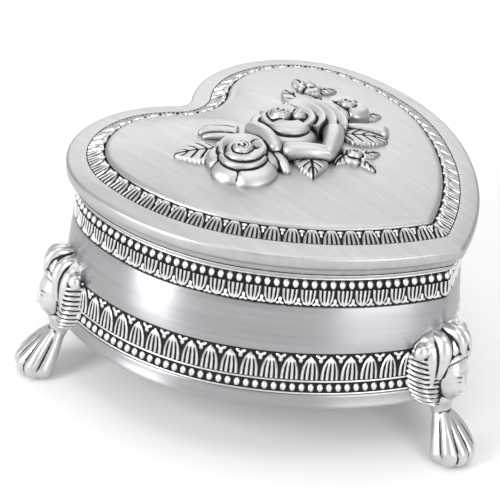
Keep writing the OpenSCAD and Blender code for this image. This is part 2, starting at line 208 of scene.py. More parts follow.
def pewter(name, bright, along, roughness, grain_bump, hollows, reach=0.5, softness=0.2, brushed=0.0,
           streak=0.14, alone=True):
    """Pewter. along turns and stretches the scratches in Object space, brushed spreads the shine across them
    and streak is how much their tone changes. hollows is "attribute", "crevices" or "both": where the
    patina's depth comes from. With alone False, crevices also count where another piece stands on this one
    or close by it, and the black there is painted shade."""
    material = bpy.data.materials.new(name)
    material.use_nodes = True
    tree = material.node_tree
    nodes = tree.nodes
    skin = nodes["Principled BSDF"]
    skin.inputs["Metallic"].default_value = 1
    coords = nodes.new("ShaderNodeTexCoord")
    lay = nodes.new("ShaderNodeMapping")
    lay.inputs["Rotation"].default_value = along[0]
    lay.inputs["Scale"].default_value = along[1]
    grain = nodes.new("ShaderNodeGroup")
    grain.node_tree = grain_group
    grain.inputs["Fineness"].default_value = 2600
    tint = nodes.new("ShaderNodeMix")
    tint.data_type = "RGBA"
    tint.inputs["A"].default_value = tuple(c * (1 - streak) for c in bright) + (1,)
    tint.inputs["B"].default_value = tuple(min(1, c * (1 + streak)) for c in bright) + (1,)
    link(tree, coords.outputs["Object"], lay.inputs["Vector"])
    link(tree, lay.outputs["Vector"], grain.inputs["Vector"])
    link(tree, grain.outputs["Streaks"], tint.inputs["Factor"])
    patina_and_shade = nodes.new("ShaderNodeGroup")
    patina_and_shade.node_tree = patina_and_shade_group
    patina_and_shade.inputs["Reach"].default_value = reach
    patina_and_shade.inputs["Softness"].default_value = softness
    link(tree, tint.outputs["Result"], patina_and_shade.inputs["Metal"])
    link(tree, patina_and_shade.outputs["Color"], skin.inputs["Base Color"])
    if hollows in ("attribute", "both"):
        painted = nodes.new("ShaderNodeAttribute")
        painted.attribute_name = "hollow"
        depth = painted.outputs["Fac"]
    if hollows in ("crevices", "both"):
        # occlusion: the patina in this piece's own hollows, and with alone False also painted shade from the
        # pieces beside it
        crevice = nodes.new("ShaderNodeAmbientOcclusion")
        crevice.samples = 8
        crevice.only_local = alone
        crevice.inputs["Distance"].default_value = 2.2 * mm
        closed = nodes.new("ShaderNodeMath")
        closed.operation = "SUBTRACT"
        closed.inputs[0].default_value = 1
        link(tree, crevice.outputs["AO"], closed.inputs[1])
        if hollows == "both":
            deeper = nodes.new("ShaderNodeMath")
            deeper.operation = "MAXIMUM"
            link(tree, depth, deeper.inputs[0])
            link(tree, closed.outputs[0], deeper.inputs[1])
            depth = deeper.outputs[0]
        else:
            depth = closed.outputs[0]
    link(tree, depth, patina_and_shade.inputs["Depth"])
    rough = nodes.new("ShaderNodeMapRange")
    rough.inputs["To Min"].default_value = 0.75
    rough.inputs["To Max"].default_value = roughness
    link(tree, patina_and_shade.outputs["Worn"], rough.inputs["Value"])
    link(tree, rough.outputs["Result"], skin.inputs["Roughness"])
    link(tree, patina_and_shade.outputs["Worn"], skin.inputs["Metallic"])
    skin.inputs["Specular IOR Level"].default_value = 0.2
    if brushed:
        round_axis = nodes.new("ShaderNodeTangent")
        round_axis.direction_type = "RADIAL"
        round_axis.axis = "Z"
        skin.inputs["Anisotropic"].default_value = brushed
        skin.inputs["Anisotropic Rotation"].default_value = 0.25
        link(tree, round_axis.outputs["Tangent"], skin.inputs["Tangent"])
    bump = nodes.new("ShaderNodeBump")
    bump.inputs["Strength"].default_value = grain_bump
    bump.inputs["Distance"].default_value = 0.05 * mm
    link(tree, grain.outputs["Lines"], bump.inputs["Height"])
    link(tree, bump.outputs["Normal"], skin.inputs["Normal"])
    return material


level_grain = ((0, 0, 0), (0.03, 0.03, 1))
lid_grain = ((0, 0, radians(38)), (1.4, 0.11, 0.6))
wall_pewter = pewter("wall_pewter", (0.39, 0.39, 0.405), level_grain, 0.33, 0.5, "attribute", brushed=0.95,
                     streak=0.24)
# the lid's crevices count the pieces on and beside it, so shade round the spray, the border and the body is
# painted black
lid_pewter = pewter("lid_pewter", (0.44, 0.44, 0.45), lid_grain, 0.42, 0.8, "both", 0.5, 0.2,
                    alone=False)
relief_pewter = pewter("relief_pewter", (0.72, 0.72, 0.73), level_grain, 0.3, 0.05, "attribute", 0.38)

# ---------------------------------------------------------------------------
# Body: one heart-shaped cast wall, flared to the foot, with a plain brushed belt
# and a plain base left standing between the two grounds that carry the galleries.
# ---------------------------------------------------------------------------
rim_w = 100 * mm
lobe_r, flank_r, nose_r, tip_r, notch_r = 0.283 * rim_w, 0.57 * rim_w, 0.82 * rim_w, 2.5 * mm, 5 * mm
flank_a, nose_a = radians(9), radians(-32)
lobe_x = rim_w / 2 - flank_r + (flank_r - lobe_r) * cos(flank_a)
flank_c = (lobe_x - (flank_r - lobe_r) * cos(flank_a), -(flank_r - lobe_r) * sin(flank_a))
nose_c = (flank_c[0] + (flank_r - nose_r) * cos(nose_a), flank_c[1] + (flank_r - nose_r) * sin(nose_a))
notch_cy = sqrt((lobe_r + notch_r) ** 2 - lobe_x ** 2)
notch_a = atan2(-notch_cy, lobe_x)
body_lo, body_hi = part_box("body_wall")
seam_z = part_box("lid_shell")[0].z
heart_y = body_hi.y - lobe_r - 0.3 * mm      # of the line through the two lobes' centres


def arc(centre, r, a0, a1, n, first=0):
    """Points on an arc from a0 to a1 in n steps, from step first on."""
    turn = [a0 + (a1 - a0) * i / n for i in range(first, n + 1)]
    return [(centre[0] + r * cos(a), centre[1] + r * sin(a)) for a in turn]


def heart(d):
    """The heart's outline, offset by d from the lid's rim, anticlockwise from the tip, always with the same
    number of points."""
    tip_y = nose_c[1] - sqrt((nose_r + d - tip_r) ** 2 - nose_c[0] ** 2)
    tip_a = atan2(tip_y - nose_c[1], -nose_c[0])
    half = (arc((0, notch_cy), notch_r - d, -pi / 2, notch_a, 8)
            + arc((lobe_x, 0), lobe_r + d, notch_a + pi, flank_a, 44, 1)
            + arc(flank_c, flank_r + d, flank_a, nose_a, 22, 1)
            + arc(nose_c, nose_r + d, nose_a, tip_a, 24, 1)
            + arc((0, tip_y), tip_r, tip_a, -pi / 2, 7, 1))
    line = half[::-1] + [(-x, y) for x, y in half[1:-1]]
    return np.array([(x, y + heart_y) for x, y in line])


stations = len(heart(0))


def deselect_all():
    if bpy.context.object and bpy.context.object.mode == "EDIT":
        bpy.ops.object.mode_set(mode="OBJECT")
    bpy.ops.object.select_all(action="DESELECT")


def sweep(name, rings, closed=True):
    """A profile run round the heart. rings are stations x 3 arrays; a circle is laid on the first and
    extruded to each of the others, then the last is bridged to the first, or both ends are closed."""
    deselect_all()
    bpy.ops.mesh.primitive_circle_add(vertices=stations, radius=rim_w / 2)
    piece = bpy.context.object
    piece.name = name
    mark = piece.data.attributes.new("station", "INT", "POINT")
    mark.data.foreach_set("value", list(range(stations)))
    piece.data.vertices.foreach_set("co", np.array(rings[0], float).ravel())
    bpy.ops.object.mode_set(mode="EDIT")
    bpy.ops.mesh.select_all(action="SELECT")
    for ring in rings[1:]:
        bpy.ops.mesh.extrude_edges_move()
        mesh = bmesh.from_edit_mesh(piece.data)
        station = mesh.verts.layers.int["station"]
        for vert in mesh.verts:
            if vert.select:
                vert.co = ring[vert[station]]
        bmesh.update_edit_mesh(piece.data)
    bpy.ops.mesh.select_all(action="DESELECT")
    bpy.ops.mesh.select_mode(type="EDGE")
    bpy.ops.mesh.select_non_manifold(extend=False, use_wire=False, use_multi_face=False,
                                     use_non_contiguous=False, use_verts=False)
    if closed:
        bpy.ops.mesh.bridge_edge_loops()
    else:
        bpy.ops.mesh.fill_holes(sides=0)
        bpy.ops.mesh.select_all(action="DESELECT")
        mesh = bmesh.from_edit_mesh(piece.data)
        for face in mesh.faces:
            face.select = len(face.verts) > 4
        bmesh.update_edit_mesh(piece.data)
        bpy.ops.mesh.poke()
    bpy.ops.mesh.select_all(action="SELECT")
    bpy.ops.mesh.normals_make_consistent(inside=False)
    bpy.ops.mesh.select_mode(type="VERT")
    bpy.ops.object.mode_set(mode="OBJECT")
    return piece


def level(d, z):
    """The outline offset by d mm, at z mm, as points."""
    flat = heart(d * mm)
    return np.column_stack((flat, np.full(len(flat), z * mm)))


def paint_rings(piece, blacks):
    """Where black stays on a sweep, ring by ring: 0 bare to 1 black."""
    layer = piece.data.attributes.new("hollow", "FLOAT", "POINT")
    count = len(piece.data.vertices)
    layer.data.foreach_set("value", [blacks[min(i // stations, len(blacks) - 1)] for i in range(count)])


def smooth(piece, degrees):
    deselect_all()
    piece.select_set(True)
    bpy.context.view_layer.objects.active = piece
    bpy.ops.object.shade_smooth_by_angle(angle=radians(degrees))


def give(piece, material, body, slot, *nodes):
    """A piece's material, the body it rides on, its slot (not used), and the CAD nodes that it stands for.
    """
    piece.data.materials.clear()
    piece.data.materials.append(material)
    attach(piece, body)
    if nodes:
        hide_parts(*nodes)


seam = seam_z / mm
foot_line = body_lo.z / mm
base_top, lower_top, upper_low = foot_line + 3.7, foot_line + 14.7, seam - 7.9
wall_t = 1.6
belt_out = 0.55      # how far the brushed belt stands proud of the galleries' grounds


def wall_d(z):
    """Offset of the wall's ground line at z, both in mm: it flares out evenly towards the foot."""
    return -3.6 + 3.4 * (seam - z) / (seam - foot_line)


# offset from the rim's outline, height and how black it stays
wall_profile = [
    (wall_d(foot_line) - wall_t, foot_line, 0), (wall_d(foot_line) + 0.1, foot_line, 0),
    (0.22, foot_line + 0.1, 0), (0.3, foot_line + 0.35, 0), (0.2, foot_line + 0.9, 0),
    (-0.02, foot_line + 1.9, 0), (-0.06, foot_line + 2.9, 0), (0.02, base_top - 0.25, 0),
    (-0.05, base_top - 0.08, 0), (-0.2, base_top, 0.2),
    (wall_d(base_top), base_top, 1), (wall_d(lower_top), lower_top, 1),
    (wall_d(lower_top) + 0.25, lower_top, 0), (wall_d(lower_top) + 0.42, lower_top + 0.1, 0),
    (wall_d(lower_top) + 0.5, lower_top + 0.35, 0), (wall_d(lower_top + 4) + belt_out, lower_top + 4, 0),
    (wall_d(upper_low - 4) + belt_out, upper_low - 4, 0), (wall_d(upper_low) + 0.5, upper_low - 0.35, 0),
    (wall_d(upper_low) + 0.42, upper_low - 0.1, 0), (wall_d(upper_low) + 0.25, upper_low, 0),
    (wall_d(upper_low), upper_low, 1), (wall_d(seam), seam - 0.3, 1),
    (wall_d(seam) - 0.2, seam - 0.1, 0.6), (wall_d(seam) - 1.4, seam - 0.1, 0),
    (wall_d(seam) - wall_t, seam - 0.4, 0), (wall_d(foot_line) - wall_t, foot_line + 1, 0)]
body_wall = sweep("cast_wall", [level(d, z) for d, z, black in wall_profile])
smooth(body_wall, 40)
paint_rings(body_wall, [black for d, z, black in wall_profile])
give(body_wall, wall_pewter, "box", "pewter", "body_wall")

# ---------------------------------------------------------------------------
# Galleries: two cast strips soldered round the wall. The lower has upright leaves
# over a row of beads, the upper has beads over hanging leaves, with darts between.
# ---------------------------------------------------------------------------
def path(d):
    """The outline at offset d mm: its points, outward normals and length so far, closed."""
    flat = heart(d * mm)
    run = np.vstack((flat, flat[:1]))
    step = np.linalg.norm(np.diff(run, axis=0), axis=1)
    tangent = np.roll(flat, -1, axis=0) - np.roll(flat, 1, axis=0)
    tangent /= np.linalg.norm(tangent, axis=1)[:, None]
    normal = np.column_stack((tangent[:, 1], -tangent[:, 0]))
    return run, np.vstack((normal, normal[:1])), np.concatenate(([0], np.cumsum(step)))


def walk(line, s):
    """Places and outward normals at lengths s along a path."""
    run, normal, length = line
    s = np.mod(s, length[-1])
    place = np.column_stack([np.interp(s, length, run[:, i]) for i in (0, 1)])
    out = np.column_stack([np.interp(s, length, normal[:, i]) for i in (0, 1)])
    return place, out / np.linalg.norm(out, axis=1)[:, None]


def ribbed_leaf(name, width, height, ribs, rise, pointed):
    """A tongue with raised ribs that meet in a solid tip: x across, y from its root to its tip, z off the
    ground. A grid is drawn in to the leaf's outline, its ribs are raised and its edge is turned down."""
    deselect_all()
    columns, rows = 4 * ribs, 7
    bpy.ops.mesh.primitive_grid_add(x_subdivisions=columns, y_subdivisions=rows, size=1)
    leaf = bpy.context.object
    leaf.name = name
    hollow = []
    for vert in leaf.data.vertices:
        across, up_leaf = vert.co.x * 2, vert.co.y + 0.5
        if pointed:
            half = 0.5 * width * (1 - up_leaf ** 2.6) ** 0.75
        else:
            half = 0.5 * width * sqrt(1 - max(0, (up_leaf - 0.12) / 0.88) ** 2.3)
        groove = (0.5 - 0.5 * cos((across + 1) * ribs * pi)) ** 0.65
        solid = min(1, max(0, (up_leaf - 0.62) / 0.25))
        edge = 1 - abs(across) ** 8
        crest = (0.25 + 0.75 * max(groove, solid)) * edge * (1 - max(0, up_leaf - 0.85) / 0.15 * 0.6)
        vert.co = (across * half, up_leaf * height, rise * crest)
        hollow.append(1 - max(groove, solid) if abs(across) < 0.97 else 1.0)
    layer = leaf.data.attributes.new("hollow", "FLOAT", "POINT")
    layer.data.foreach_set("value", hollow)
    bpy.ops.object.mode_set(mode="EDIT")
    bpy.ops.mesh.select_all(action="SELECT")
    bpy.ops.mesh.remove_doubles(threshold=0.02 * mm)
    bpy.ops.object.mode_set(mode="OBJECT")
    return leaf


def bead(name, width, height, rise):
    """A half bead: a ball cut through its middle and drawn out to an egg."""
    deselect_all()
    bpy.ops.mesh.primitive_uv_sphere_add(segments=10, ring_count=8, radius=0.5)
    ball = bpy.context.object
    ball.name = name
    bpy.ops.object.mode_set(mode="EDIT")
    bpy.ops.mesh.select_all(action="SELECT")
    bpy.ops.mesh.bisect(plane_co=(0, 0, 0), plane_no=(0, 0, 1), clear_inner=True)
    bpy.ops.mesh.select_all(action="SELECT")
    bpy.ops.transform.resize(value=(width, height, 2 * rise), center_override=(0, 0, 0))
    bpy.ops.object.mode_set(mode="OBJECT")
    layer = ball.data.attributes.new("hollow", "FLOAT", "POINT")
    layer.data.foreach_set("value", [0.75 if v.co.z < 0.25 * rise else 0.0 for v in ball.data.vertices])
    return ball


def dart(name, width, height, rise):
    """The small three-lobed sprig that fills the gap between two leaves, its middle lobe the longest."""
    deselect_all()
    bpy.ops.mesh.primitive_uv_sphere_add(segments=24, ring_count=8, radius=0.5)
    sprig = bpy.context.object
    sprig.name = name
    bpy.ops.object.mode_set(mode="EDIT")
    bpy.ops.mesh.select_all(action="SELECT")
    bpy.ops.mesh.bisect(plane_co=(0, 0, 0), plane_no=(0, 0, 1), clear_inner=True)
    bpy.ops.object.mode_set(mode="OBJECT")
    for vert in sprig.data.vertices:
        turn = atan2(vert.co.y, vert.co.x)
        reach = 0.66 + 0.34 * cos(3 * (turn - pi / 2)) + 0.12 * cos(turn - pi / 2)
        vert.co = (vert.co.x * reach * width, vert.co.y * reach * height, vert.co.z * 2 * rise)
    layer = sprig.data.attributes.new("hollow", "FLOAT", "POINT")
    layer.data.foreach_set("value", [0.9 if v.co.z < 0.25 * rise else 0.0 for v in sprig.data.vertices])
    return sprig


def set_round(pattern, name, line, count, start, place_on):
    """count copies of a pattern, evenly round a path and bent to it, each with its own mesh, then joined.
    place_on turns (across, up, off) in metres into a length along the path, an offset and a height."""
    deselect_all()
    total = line[2][-1]
    flat = np.array([v.co[:] for v in pattern.data.vertices])
    for i in range(count):
        copy = pattern.copy()
        copy.data = pattern.data.copy()
        bpy.context.collection.objects.link(copy)
        across, off, z = place_on(flat)
        place, out = walk(line, start + total * i / count + across)
        spot = place + out * off[:, None]
        copy.data.vertices.foreach_set("co", np.column_stack((spot, z)).ravel())
        copy.select_set(True)
        bpy.context.view_layer.objects.active = copy
    bpy.ops.object.join()
    made = bpy.context.object
    made.name = name
    bpy.data.objects.remove(pattern)
    return made


def join_into(name, parts):
    deselect_all()
    for part in parts:
        part.select_set(True)
    bpy.context.view_layer.objects.active = parts[0]
    bpy.ops.object.join()
    bpy.context.object.name = name
    return bpy.context.object


def upright(line_z, root_z, sense):
    """Stands a pattern against the wall: its root at root_z, growing up (1) or hanging (-1)."""
    def place_on(flat):
        z = root_z + sense * flat[:, 1] / mm
        lean = (wall_d(z) - wall_d(line_z)) * mm
        return sense * flat[:, 0], flat[:, 2] + lean + 0.1 * mm, z * mm
    return place_on


def gallery(name, z0, z1, fillets, ground=0.12):
    """The strip's black ground with its raised fillets, as one sweep. fillets are (height, radius)."""
    profile = [(wall_d(z0) + 0.04, z0, 1), (wall_d(z1) + 0.04, z1, 1), (wall_d(z1) + ground, z1, 1)]
    for z, r in sorted(fillets, reverse=True):
        for k in range(5):
            turn = pi * k / 4
            profile.append((wall_d(z) + ground + r * sin(turn) * 1.1, z + r * cos(turn), abs(k - 2) // 2))
    profile.append((wall_d(z0) + ground, z0, 1))
    strip = sweep(name, [level(d, z) for d, z, black in profile])
    paint_rings(strip, [black for d, z, black in profile])
    return strip


lower_line_z = 25
lower_line = path(wall_d(lower_line_z))
lower_count = round(lower_line[2][-1] / (4.7 * mm))
lower_beads = round(lower_line[2][-1] / (2.15 * mm))
pitch = lower_line[2][-1] / lower_count
lower = [
    gallery("lower_ground", base_top + 0.05, lower_top - 0.05,
            [(base_top + 0.35, 0.28), (base_top + 3.6, 0.3)]),
    set_round(ribbed_leaf("upright_leaf", 4.62 * mm, 5.95 * mm, 4, 0.72 * mm, True), "upright_leaves",
              lower_line, lower_count, 0, upright(lower_line_z, base_top + 4.3, 1)),
    set_round(dart("upper_dart", 3.1 * mm, 2.8 * mm, 0.55 * mm), "upper_darts",
              lower_line, lower_count, pitch / 2, upright(lower_line_z, lower_top - 1.15, -1)),
    set_round(bead("lower_bead", 1.6 * mm, 2.1 * mm, 0.8 * mm), "lower_beads",
              lower_line, lower_beads, 0, upright(lower_line_z, base_top + 1.95, 1))]
lower_gallery = join_into("lower_gallery", lower)
smooth(lower_gallery, 60)
give(lower_gallery, relief_pewter, "box", "pewter_relief", "lower_band")

upper_line_z = 46
upper_line = path(wall_d(upper_line_z))
upper_count = round(upper_line[2][-1] / (4.15 * mm))
upper_beads = round(upper_line[2][-1] / (2.15 * mm))
pitch = upper_line[2][-1] / upper_count
upper = [
    gallery("upper_ground", upper_low + 0.05, seam - 0.15,
            [(seam - 0.6, 0.3)]),
    set_round(ribbed_leaf("hanging_leaf", 4.0 * mm, 4.2 * mm, 4, 0.7 * mm, False), "hanging_leaves",
              upper_line, upper_count, 0, upright(upper_line_z, upper_low + 4.6, -1)),
    set_round(dart("lower_dart", 2.5 * mm, 2.4 * mm, 0.55 * mm), "lower_darts",
              upper_line, upper_count, pitch / 2, upright(upper_line_z, upper_low + 1.0, 1)),
    set_round(bead("upper_bead", 1.6 * mm, 2.2 * mm, 0.8 * mm), "upper_beads",
              upper_line, upper_beads, 0, upright(upper_line_z, upper_low + 5.75, 1))]
upper_gallery = join_into("upper_gallery", upper)
smooth(upper_gallery, 60)
give(upper_gallery, relief_pewter, "box", "pewter_relief", "upper_band")

# ---------------------------------------------------------------------------
# Lid: one casting that turns on the hinge in the notch, with a stepped rim moulding,
# a channel for the leaf border and a pillowed dome, all brushed one way.
# ---------------------------------------------------------------------------
rim = seam + 6.9
dome = seam + 9.7
crown_h = 3.5
lid_t = 1.6
shoulder_d = -10.9      # where the dome starts, as an offset from the rim
crown_place = np.array([0, heart_y - 12 * mm])


def drawn_in(d, t, z):
    """An outline that is drawn in towards the crown by the share t."""
    ring = level(d, z)
    ring[:, :2] += (crown_place - ring[:, :2]) * t
    return ring


def crown(t):
    return crown_h * (1 - (1 - t) ** 2)


steps = [0.03, 0.07, 0.12, 0.18, 0.26, 0.35, 0.45, 0.56, 0.68, 0.8, 0.92]
# offset from the rim's outline, height and how black it stays, from the inside round to the shoulder
lid_profile = [
    (shoulder_d, dome - lid_t, 0), (shoulder_d, rim - 0.9, 0), (-5.6, rim - 2.1, 0), (-5.2, seam + 4, 0),
    (-4.5, seam + 0.2, 0), (-4.3, seam, 0), (-2.7, seam, 0), (-2.4, seam + 0.1, 0), (-2.22, seam + 0.4, 0),
    (-2.16, seam + 0.9, 0), (-2.28, seam + 1.1, 0.8), (-2.24, seam + 1.3, 0.6), (-2.1, seam + 1.45, 0),
    (-1.95, seam + 2.2, 0), (-1.6, seam + 2.9, 0), (-1.1, seam + 3.4, 0), (-0.78, seam + 3.58, 0),
    (-0.7, seam + 3.72, 0.6), (-0.4, seam + 3.82, 0), (-0.2, seam + 4.05, 0), (-0.08, seam + 4.5, 0),
    (0, seam + 5.2, 0), (0, seam + 5.9, 0), (-0.03, seam + 6.3, 0), (-0.13, seam + 6.6, 0),
    (-0.36, seam + 6.8, 0), (-0.8, seam + 6.92, 0), (-1.6, seam + 7.08, 0), (-3, seam + 7.36, 0),
    (-4.5, seam + 7.64, 0), (-4.72, seam + 7.66, 0), (-4.84, seam + 7.5, 0.2), (-4.87, seam + 7.2, 1),
    (-4.9, seam + 6.75, 1), (-9.2, seam + 8.35, 1), (-9.2, seam + 8.7, 0.7), (-9.27, seam + 8.95, 0),
    (-9.5, seam + 9.25, 0), (-9.85, seam + 9.47, 0), (-10.3, seam + 9.63, 0)]
under = [drawn_in(shoulder_d, t, dome - lid_t + crown(t)) for t in reversed(steps)]
over = [drawn_in(shoulder_d, t, dome + 0.05 + crown(t)) for t in [0] + steps]
lid = sweep("domed_lid", under + [level(d, z) for d, z, black in lid_profile] + over, closed=False)
smooth(lid, 35)
paint_rings(lid, [0] * len(under) + [black for d, z, black in lid_profile] + [0] * len(over))
give(lid, lid_pewter, "lid", "pewter", "lid_shell")

# ---------------------------------------------------------------------------
# Border: a cast ring of round-topped leaves that point inwards, with darts
# between them, sunk in the lid's channel and soldered.
# ---------------------------------------------------------------------------
border_line_d = -5.4
border_out_d, border_in_d = -4.95, -9.15
channel_foot, channel_rise = seam + 6.85, 1.6
border_line = path(border_line_d)
border_count = round(border_line[2][-1] / (4.55 * mm))
pitch = border_line[2][-1] / border_count


def channel_z(d):
    """The channel's floor, which climbs inwards to the dome's shoulder."""
    return channel_foot + channel_rise * (border_out_d - d) / (border_out_d - border_in_d)


def flat_on(root_d, sense):
    """Lays a pattern in the channel: its root at offset root_d, growing inwards (1) or outwards (-1)."""
    def place_on(flat):
        inward = sense * flat[:, 1]
        off = (root_d - border_line_d) * mm - inward
        squeeze = 1 - 0.02 * inward / mm
        return sense * flat[:, 0] * squeeze, off, flat[:, 2] + channel_z(border_line_d + off / mm) * mm
    return place_on


border_ground = sweep("border_ground", [level(d, z) for d, z in [
    (border_in_d, seam + 8.2), (border_out_d, seam + 6.75),
    (border_out_d, channel_z(border_out_d)), (border_in_d, channel_z(border_in_d))]])
paint_rings(border_ground, [1])
border = join_into("leaf_border", [
    border_ground,
    set_round(ribbed_leaf("border_leaf", 4.5 * mm, 4.1 * mm, 4, 0.9 * mm, False), "border_leaves",
              border_line, border_count, 0, flat_on(-5.0, 1)),
    set_round(dart("border_dart", 2.0 * mm, 1.9 * mm, 0.7 * mm), "border_darts",
              border_line, border_count, pitch / 2, flat_on(-8.3, -1))])
smooth(border, 60)
give(border, relief_pewter, "lid", "pewter_relief", "lid_border")

# ---------------------------------------------------------------------------
# Feet: three alike castings, screwed on at the tip and on each lobe. A head in a
# ribbed headcloth lies against the wall, over a bent leg and a four-toed paw.
# ---------------------------------------------------------------------------
foot_voxel = 0.24 * mm


def chain(points, radii, count=14):
    """A rounded limb: balls set closely along a bend through three points, as [mm] lengths."""
    a, b, c = (Vector(p) for p in points)
    made = []
    for i in range(count):
        t = i / (count - 1)
        place = a * (1 - t) ** 2 + b * 2 * t * (1 - t) + c * t ** 2
        radius = radii[0] * (1 - t) ** 2 + radii[1] * 2 * t * (1 - t) + radii[2] * t ** 2
        bpy.ops.mesh.primitive_uv_sphere_add(segments=20, ring_count=12, radius=radius * mm,
                                             location=place * mm)
        made.append(bpy.context.object)
    return made


def settle(piece):
    """Moves a finished piece's place into its mesh."""
    deselect_all()
    piece.select_set(True)
    bpy.context.view_layer.objects.active = piece
    bpy.ops.object.transform_apply(location=True, rotation=True, scale=True)


def remesh(piece, voxel, smoothing):
    """Melts joined lumps into one cast skin."""
    settle(piece)
    bpy.ops.object.modifier_add(type="REMESH")
    piece.modifiers["Remesh"].mode = "VOXEL"
    piece.modifiers["Remesh"].voxel_size = voxel
    bpy.ops.object.modifier_apply(modifier="Remesh")
    bpy.ops.object.modifier_add(type="SMOOTH")
    piece.modifiers["Smooth"].iterations = smoothing
    bpy.ops.object.modifier_apply(modifier="Smooth")


def paint_creases(piece, passes, full):
    """Blackens a dense mesh's creases: how deep each vertex lies below its surroundings, black at full."""
    mesh = piece.data
    count = len(mesh.vertices)
    co, normal, ends = np.empty(count * 3), np.empty(count * 3), np.empty(len(mesh.edges) * 2, int)
    mesh.vertices.foreach_get("co", co)
    mesh.vertex_normals.foreach_get("vector", normal)
    mesh.edges.foreach_get("vertices", ends)
    co, normal, ends = co.reshape(-1, 3), normal.reshape(-1, 3), ends.reshape(-1, 2)
    near = np.maximum(np.bincount(ends.ravel(), minlength=count), 1)
    blurred = co.copy()
    for _ in range(passes):
        blurred = np.column_stack([
            np.bincount(ends[:, 0], blurred[ends[:, 1], k], count)
            + np.bincount(ends[:, 1], blurred[ends[:, 0], k], count) for k in range(3)]) / near[:, None]
    depth = ((blurred - co) * normal).sum(axis=1)
    layer = mesh.attributes.new("hollow", "FLOAT", "POINT")
    layer.data.foreach_set("value", np.clip(depth / full, 0, 1))


def bump_at(y, z, y0, z0, wide, tall):
    """A soft swelling about y0, z0, 1 at its middle."""
    return np.exp(-((y - y0) / wide) ** 2 - ((z - z0) / tall) ** 2)


def foot_head():
    """A calm, symmetrical head: an egg whose front is pushed out and in to brow, eyes, nose, lips and chin.
    Hairline, brow, nose and chin stand a third of the face apart, and the face is a little over five eyes
    wide."""
    chin, hairline, half_width, axis_x, front = 16.2, 29.4, 4.3, 2.4, 7.1
    third = (hairline - chin) / 3
    brow, nose_base = hairline - third, chin + third
    eye, mouth = brow - 0.24 * third, nose_base - 0.36 * third
    bpy.ops.mesh.primitive_uv_sphere_add(segments=96, ring_count=80, radius=1)
    head = bpy.context.object
    co = np.array([v.co[:] for v in head.data.vertices])
    middle = (chin + hairline) / 2 + 1.2
    z = middle + co[:, 2] * ((hairline - chin) / 2 + 1.3)
    narrow = 1 - 0.3 * np.clip((middle - z) / (middle - chin), 0, 1) ** 2
    y = co[:, 1] * half_width * narrow
    drawn_back = 1 - 0.08 * np.clip((middle - z) / (middle - chin), 0, 1) ** 2
    x = axis_x + co[:, 0] * (front - axis_x) * drawn_back
    facing = np.clip(co[:, 0], 0, 1)
    push = np.zeros(len(x))
    for side in (-1, 1):
        push -= 0.9 * bump_at(y, z, side * 1.55, eye, 1.05, 0.9)
        push += 0.75 * bump_at(y, z, side * 1.55, eye - 0.05, 0.8, 0.5)
        push += 0.35 * bump_at(y, z, side * 1.6, brow + 0.15, 1.3, 0.35)
        push += 0.3 * bump_at(y, z, side * 2.1, nose_base + 0.4, 1.1, 1.6)
        push += 0.35 * bump_at(y, z, side * 0.62, nose_base + 0.3, 0.4, 0.4)
    push += 0.55 * bump_at(y, z, 0, (brow + nose_base) / 2 + 0.4, 0.5, 1.6)
    push += 0.95 * bump_at(y, z, 0, nose_base + 0.65, 0.55, 0.75)
    push -= 0.25 * bump_at(y, z, 0, nose_base - 0.45, 1.2, 0.3)
    push += 0.5 * bump_at(y, z, 0, mouth + 0.33, 1.15, 0.28)
    push += 0.5 * bump_at(y, z, 0, mouth - 0.38, 0.95, 0.3)
    push -= 0.3 * bump_at(y, z, 0, mouth - 0.02, 1.3, 0.12)
    push -= 0.3 * bump_at(y, z, 0, mouth - 0.95, 1.0, 0.35)
    push += 0.45 * bump_at(y, z, 0, chin + 1.1, 1.2, 0.9)
    x = x + push * facing
    head.data.vertices.foreach_set("co", (np.column_stack((x, y, z)) * mm).ravel())
    return head


